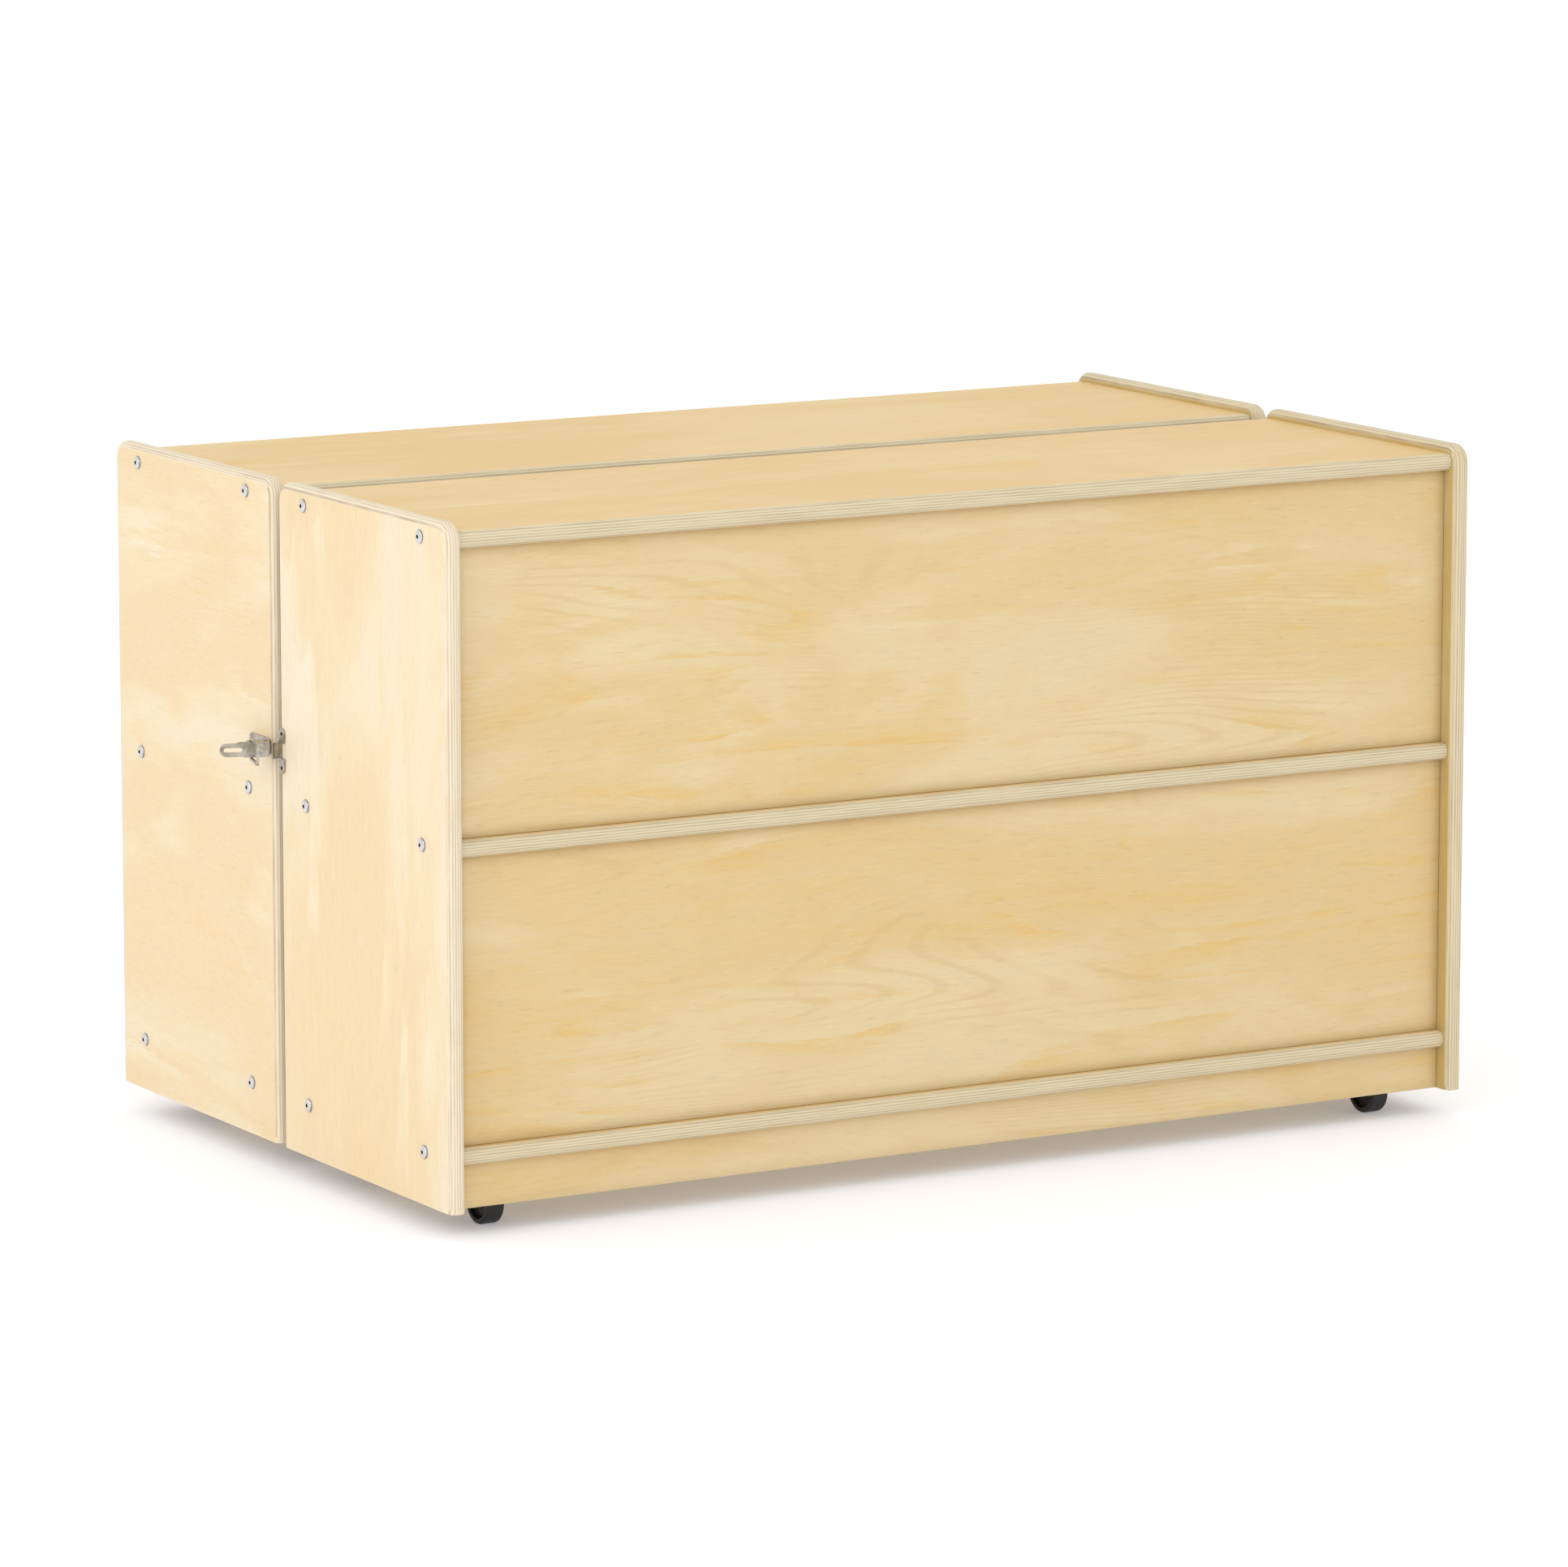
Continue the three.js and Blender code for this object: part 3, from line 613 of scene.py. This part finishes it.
def case_screws(half, material):
    """Three rows of two in each side panel, in line with the middles of the boards."""
    side = SIDE_OF[half]
    for end in ("left", "right"):
        low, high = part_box(f"{half}_side_{end}")
        face_x = low.x if end == "left" else high.x
        outer_y = low.y if half == "near" else high.y
        places = (("inner", side * SCREW_FROM_JOINT), ("outer", outer_y - side * SCREW_FROM_OUTSIDE))
        for board in ("top_board", "middle_shelf", "bottom_shelf"):
            board_low, board_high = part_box(f"{half}_{board}")
            z = (board_low.z + board_high.z) / 2
            for place, y in places:
                matrix = frame_of(Vector((face_x, y, z)), Y, Z)
                if end == "left":
                    matrix = frame_of(Vector((face_x, y, z)), Z, Y)
                # Each screw stops at an angle of its own.
                turned = matrix @ Matrix.Rotation(math.radians(37 * (y * 40 + z * 13)), 4, "Z")
                name = f"screw_{half}_{end}_{board}_{place}"
                screw = socket_screw(name, material, SCREW_RADIUS, SCREW_HEIGHT, turned)
                attach(screw, f"{half}_half", "zinc_plate")


# ---- Casters ------------------------------------------------------------------------------------

def caster_wheel(name, material):
    """Tread with rounded shoulders, a deep web and a boss, turned about the axle."""
    low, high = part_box(name)
    middle = (low + high) / 2
    radius, half = (high.z - low.z) / 2, (high.x - low.x) / 2 - 0.8 * MM
    rim, web, boss, bore = radius * 0.77, half * 0.36, 8 * MM, 3.4 * MM
    shoulder = 2.6 * MM
    outer = [(rim, half - 0.8 * MM), (rim + 0.8 * MM, half)]
    outer += [(radius - shoulder + shoulder * math.sin(a), half - shoulder + shoulder * math.cos(a))
              for a in [math.pi / 2 * k / 6 for k in range(7)]]
    inner = [(bore, half + 0.8 * MM), (boss - 0.5 * MM, half + 0.8 * MM), (boss, half + 0.3 * MM),
             (boss + 0.4 * MM, web + 1.2 * MM), (boss + 1.4 * MM, web), (rim - 1.6 * MM, web),
             (rim - 0.4 * MM, web + 1.2 * MM)]
    side = inner + outer
    profile = side + [(r, -z) for r, z in side[::-1]]
    bm = bmesh.new()
    lathe(bm, profile, 72, capped=False)
    return finish_mesh(bm, f"{name}_turned", material, frame_of(middle, Y, Z))


def caster_axle(name, material):
    low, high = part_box(name)
    middle, half = (low + high) / 2, (high.x - low.x) / 2
    head, shank, thick = 4.8 * MM, 3.0 * MM, 2.2 * MM
    side = [(0, half), (head * 0.55, half), (head * 0.85, half - 0.5 * MM), (head, half - 1.2 * MM),
            (head, half - thick), (shank, half - thick)]
    profile = side + [(r, -z) for r, z in side[::-1]]
    bm = bmesh.new()
    lathe(bm, profile, 40)
    return finish_mesh(bm, f"{name}_riveted", material, frame_of(middle, Y, Z))


def caster_fork(name, material, wheel):
    """Crown with a dished rim and two pressed legs that reach back to the axle."""
    low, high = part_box(name)
    wheel_low, wheel_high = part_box(wheel)
    hub = (wheel_low + wheel_high) / 2
    crown_radius = (high.x - low.x) / 2
    swivel = Vector((hub.x, high.y - crown_radius, high.z))
    bm = bmesh.new()
    thick, inside = 2.5 * MM, 11.5 * MM
    lathe(bm, [(0, 0), (crown_radius * 0.8, 0), (crown_radius, -1.2 * MM), (crown_radius, -2.4 * MM),
               (crown_radius * 0.92, -3 * MM), (0, -3 * MM)], 48)
    back, drop = hub.y - swivel.y, hub.z - swivel.z
    for side in (-1, 1):
        boss = arc((back, drop), 8 * MM, 171, 333, 14)
        leg = [(11 * MM, -0.4 * MM), (-13 * MM, -0.4 * MM), *boss]
        rows = []
        for x in (inside, inside + thick):
            rows.append([bm.verts.new((side * x, y, z)) for y, z in leg])
        bridge(bm, *rows)
        bm.faces.new(rows[0])
        bm.faces.new(rows[1])
    piece = finish_mesh(bm, f"{name}_pressed", material, Matrix.Translation(swivel))
    return bevel_sharp(piece, 0.5 * MM)


def caster_plate(name, material):
    low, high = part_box(name)
    middle = (low + high) / 2
    top = high.z
    half_x, half_y = (high.x - low.x) / 2, (high.y - low.y) / 2
    bm = bmesh.new()
    outline = rounded_outline(-half_x, -half_y, half_x, half_y, 5 * MM, 6)
    prism(bm, outline, -CASTER_PLATE, 0)
    drop = high.z - low.z
    lathe(bm, [(0, -2 * MM), (17 * MM, -2 * MM), (19 * MM, -4 * MM), (19 * MM, -drop + 1.5 * MM),
               (17.5 * MM, -drop), (0, -drop)], 48)
    place = Matrix.Translation(Vector((middle.x, middle.y, top)))
    return bevel_sharp(finish_mesh(bm, f"{name}_pressed", material, place), 0.4 * MM)


def caster_screws(caster, body, material):
    low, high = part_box(f"{caster}_plate")
    for i, (sx, sy) in enumerate(((-1, -1), (1, -1), (1, 1), (-1, 1))):
        x = (low.x + high.x) / 2 + sx * ((high.x - low.x) / 2 - PLATE_SCREW_INSET)
        y = (low.y + high.y) / 2 + sy * ((high.y - low.y) / 2 - PLATE_SCREW_INSET)
        place = frame_of(Vector((x, y, high.z - CASTER_PLATE)), Y, X)
        screw = socket_screw(f"screw_{caster}_{i + 1}", material, PLATE_SCREW, 2 * MM, place)
        attach(screw, body, "zinc_plate")


def build_casters(half, looks):
    for row in ("outer", "inner"):
        for end in ("left", "right"):
            caster = f"caster_{half}_{row}_{end}"
            nodes = {part: f"{caster}_{part}" for part in ("plate", "fork", "wheel", "axle")}
            attach(caster_plate(nodes["plate"], looks["zinc"]), f"{half}_half", "zinc_plate", nodes["plate"])
            fork = caster_fork(nodes["fork"], looks["black"], nodes["wheel"])
            attach(fork, f"{caster}_swivel", "black_steel", nodes["fork"])
            axle = caster_axle(nodes["axle"], looks["zinc"])
            attach(axle, f"{caster}_swivel", "zinc_plate", nodes["axle"])
            wheel = caster_wheel(nodes["wheel"], looks["rubber"])
            attach(wheel, f"{caster}_roller", "black_rubber", nodes["wheel"])
            caster_screws(caster, f"{half}_half", looks["plate_screw"])


# ---- Hinges and latch ---------------------------------------------------------------------------

def dress_metal(node, material, width):
    """A pressed metal part keeps its own shape and gets eased edges and a better finish."""
    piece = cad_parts[node]
    piece.data.materials.clear()
    piece.data.materials.append(material)
    bevel_sharp(piece, width, 2, 35)


def hinge_screws(material):
    for level in ("lower", "upper"):
        for half in HALVES:
            low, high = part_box(f"hinge_{level}_{half}_leaf")
            side = SIDE_OF[half]
            for i, z in enumerate(HINGE_SCREW_Z):
                y = side * HINGE_SCREW_Y[i % 2]
                height = (low.z + high.z) / 2 + z * (high.z - low.z)
                place = frame_of(Vector((low.x + HINGE_LEAF, y, height)), Y, Z)
                name = f"screw_hinge_{level}_{half}_{i + 1}"
                screw = socket_screw(name, material, HINGE_SCREW, 1.1 * MM, place)
                attach(screw, f"{half}_half", "zinc_plate")


def latch_screws(material):
    low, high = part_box("latch_keeper")
    middle = (low + high) / 2
    left_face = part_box("near_side_left")[0].x
    for name, z in (("lower", -KEEPER_SCREW_Z), ("upper", KEEPER_SCREW_Z)):
        place = frame_of(Vector((left_face - 0.2 * MM, KEEPER_SCREW_Y, middle.z + z)), Z, Y)
        screw = socket_screw(f"screw_keeper_{name}", material, KEEPER_SCREW, 2.4 * MM, place)
        attach(screw, "near_half", "satin_steel")


def build_hardware(looks):
    for level in ("lower", "upper"):
        for part in ("far_leaf", "near_leaf", "pin"):
            dress_metal(f"hinge_{level}_{part}", looks["hinge"], 0.3 * MM)
    for part in ("base", "keeper", "lever", "bail", "pin"):
        dress_metal(f"latch_{part}", looks["satin"], 0.25 * MM)
    hinge_screws(looks["hinge_screw"])
    latch_screws(looks["keeper_screw"])


# ---- Floor, light and camera --------------------------------------------------------------------

def build_floor():
    bm = bmesh.new()
    corners = ((-1, -1), (1, -1), (1, 1), (-1, 1))
    bm.faces.new([bm.verts.new((x * FLOOR_HALF, y * FLOOR_HALF, 0)) for x, y in corners])
    t = Tree("pale_floor")
    speckle = t.noise(t.place((40, 40, 40)), detail=3)
    t.set(Base_Color=t.mix(speckle, (0.81, 0.82, 0.86, 1), (0.84, 0.85, 0.89, 1)))
    t.shader.inputs["Emission Color"].default_value = (1, 1, 1, 1)
    t.shader.inputs["Emission Strength"].default_value = 0.21
    t.shader.inputs["Roughness"].default_value = 0.9
    t.shader.inputs["Specular IOR Level"].default_value = 0.0
    mesh = bpy.data.meshes.new("floor")
    bm.to_mesh(mesh)
    bm.free()
    mesh.materials.append(t.material)
    floor = bpy.data.objects.new("floor", mesh)
    bpy.context.scene.collection.objects.link(floor)


def area_light(name, place, target, size, power):
    light = bpy.data.lights.new(name, "AREA")
    light.shape = "RECTANGLE"
    light.size, light.size_y = size
    light.energy = power
    lamp = bpy.data.objects.new(name, light)
    bpy.context.scene.collection.objects.link(lamp)
    lamp.location = place
    lamp.rotation_euler = (Vector(target) - Vector(place)).to_track_quat("-Z", "Y").to_euler()


def build_light():
    world = bpy.data.worlds.new("studio")
    world.use_nodes = True
    background = world.node_tree.nodes["Background"]
    background.inputs["Color"].default_value = (1, 1, 1, 1)
    background.inputs["Strength"].default_value = 1.06
    bpy.context.scene.world = world
    area_light("key_left", (-5.0, -1.8, 3.4), (0, 0, 0.35), (2.4, 2.4), 36)
    area_light("front_left", (-2.4, -3.2, 1.6), (-0.4, 0, 0.35), (1.5, 1.5), 10)
    bpy.context.scene.view_settings.view_transform = "Standard"


CAMERA_PLACE = Vector((-4.211, -7.331, 1.817))
CAMERA_TURN = math.radians(29.965)
CAMERA_DIP = math.radians(9.786)
CAMERA_LENS = 185.03


def build_camera():
    data = bpy.data.cameras.new("camera")
    data.sensor_width = 36
    data.lens = CAMERA_LENS
    data.clip_end = 100
    camera = bpy.data.objects.new("camera", data)
    bpy.context.scene.collection.objects.link(camera)
    camera.location = CAMERA_PLACE
    camera.rotation_euler = (math.pi / 2 - CAMERA_DIP, 0, -CAMERA_TURN)
    bpy.context.scene.camera = camera


# ---- Everything ---------------------------------------------------------------------------------

build_camera()
build_light()
build_floor()

LOOKS = {
    "zinc": metal("zinc_plate", srgb(226, 228, 230), srgb(176, 178, 182), 0.16),
    "panel_screw": metal("panel_screws", srgb(230, 229, 226), srgb(172, 172, 172), 0.14, head=SCREW_RADIUS),
    "hinge_screw": metal("hinge_screws", srgb(226, 228, 230), srgb(166, 168, 172), 0.18, head=HINGE_SCREW),
    # Near black: the keeper screws are painted shade, standing for the shade in the keeper's screw holes.
    "keeper_screw": metal("keeper_screws", srgb(62, 58, 52), srgb(34, 31, 28), 0.3, head=KEEPER_SCREW),
    "plate_screw": metal("plate_screws", srgb(220, 222, 224), srgb(160, 162, 166), 0.2, head=PLATE_SCREW),
    "satin": metal("satin_steel", srgb(196, 190, 176), srgb(136, 128, 110), 0.22),
    "hinge": metal("hinge_steel", srgb(206, 204, 199), srgb(172, 169, 162), 0.28),
    "black": black_plastic("black_steel", srgb(26, 26, 28), srgb(52, 52, 54), 0.32),
    "rubber": black_plastic("black_rubber", srgb(22, 22, 23), srgb(46, 45, 44), 0.42),
}

for index, half_name in enumerate(HALVES):
    build_case(half_name, 1 + 20 * index)
    case_screws(half_name, LOOKS["panel_screw"])
    build_casters(half_name, LOOKS)
build_hardware(LOOKS)
